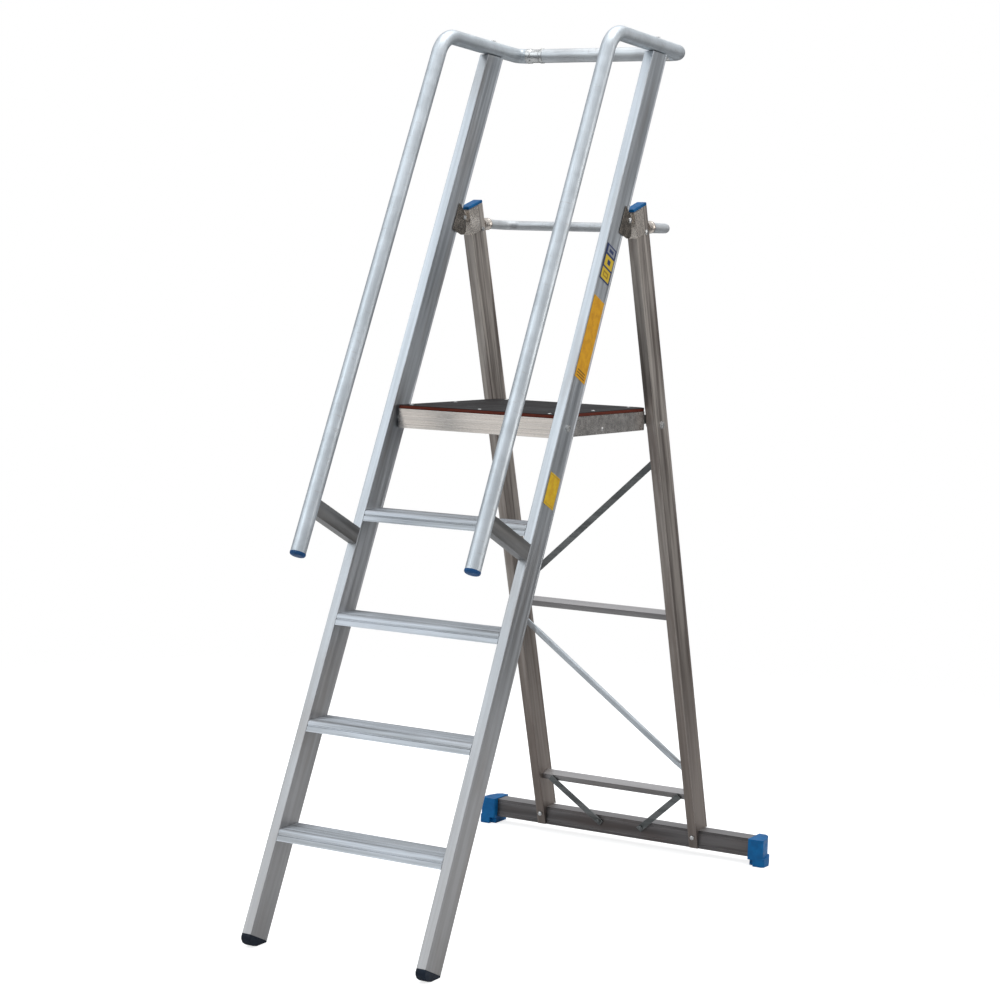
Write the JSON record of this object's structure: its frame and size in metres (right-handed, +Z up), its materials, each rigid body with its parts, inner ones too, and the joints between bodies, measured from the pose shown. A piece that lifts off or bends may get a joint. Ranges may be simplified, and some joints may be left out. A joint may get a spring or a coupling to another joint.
{
  "type": "platform step ladder",
  "caption": "Folding aluminium platform step ladder with hooped hand rails, a knee rail, a braced rear frame and a wide base beam on plastic feet.",
  "frame": {"origin": "middle of the footprint, on the floor", "axes": "+X to the climber's right, +Y the way the climber faces, from the treads towards the rear frame, +Z up"},
  "size_m": [0.916, 1.5468, 2.2511],
  "materials": {
    "profile": "mill finish, fine lengthwise extrusion lines",
    "leg_profile": "mill finish, slightly darker and warmer",
    "tube": "satin drawn tube",
    "fascia": "satin sheet with faint smudges",
    "brace": "dull grey",
    "casting": "dull warm grey",
    "zinc": "bright zinc plate",
    "blue_plastic": "moulded blue plastic",
    "cap_plastic": "moulded blue plastic",
    "foot_plastic": "dark navy rubber",
    "board": "dark film-faced plywood with a fine grip pattern and red-brown edges",
    "label_yellow": "yellow sticker film",
    "label_orange": "orange sticker film",
    "label_blue": "dark blue sticker film"
  },
  "bodies": {
    "front_frame": {"stile_foot_left": "foot_plastic", "handrail_bracket_left": "profile", "stile_foot_right": "foot_plastic", "handrail_bracket_right": "profile", "label_yellow": "label_yellow", "label_orange": "label_orange", "label_pictograms": "label_blue", "tread_1": "profile", "tread_2": "profile", "tread_3": "profile", "tread_4": "profile", "stile_left": "profile", "handrail_left": "tube", "handrail_end_cap_left": "cap_plastic", "guard_sleeve_left": "zinc", "guard_screw_left": "zinc", "hinge_clip_left": "brace", "hinge_pin_left": "zinc", "platform_pivot_bolt_left": "zinc", "stile_right": "profile", "handrail_right": "tube", "handrail_end_cap_right": "cap_plastic", "guard_sleeve_right": "zinc", "guard_screw_right": "zinc", "hinge_clip_right": "brace", "hinge_pin_right": "zinc", "platform_pivot_bolt_right": "zinc", "guard_crossbar": "tube"},
    "rear_frame": {"rear_leg_cap_left": "blue_plastic", "hinge_sleeve_left": "casting", "rear_leg_cap_right": "blue_plastic", "hinge_sleeve_right": "casting", "mid_bar": "leg_profile", "low_bar": "leg_profile", "rear_leg_left": "leg_profile", "leg_bolt_left": "zinc", "knee_rail_socket_left": "casting", "knee_rail_bolt_left": "zinc", "catch_peg_left": "zinc", "gusset_left": "brace", "gusset_screw_left": "zinc", "beam_foot_left": "blue_plastic", "rear_leg_right": "leg_profile", "leg_bolt_right": "zinc", "knee_rail_socket_right": "casting", "knee_rail_bolt_right": "zinc", "catch_peg_right": "zinc", "gusset_right": "brace", "gusset_screw_right": "zinc", "beam_foot_right": "blue_plastic", "knee_rail": "tube", "upper_brace": "brace", "lower_brace": "tube", "base_beam": "leg_profile"},
    "platform": {"platform_hook_left": "brace", "platform_hook_right": "brace", "platform_frame": "fascia", "deck": "board", "deck_support": "profile"}
  },
  "joints": [
    {"name": "rear_frame_fold", "type": "hinge", "parent": "front_frame", "child": "rear_frame", "pos_m": [-0.01, 0.12555, 1.76728], "axis": [-1, 0, 0], "range_deg": [0, 42]},
    {"name": "platform_fold", "type": "hinge", "parent": "front_frame", "child": "platform", "pos_m": [-0.01, -0.16742, 1.24886], "axis": [1, 0, 0], "range_deg": [0, 65]}
  ],
  "couplings": [
    {"joint": "platform_fold", "follows": "rear_frame_fold", "ratio": 1.54}
  ]
}
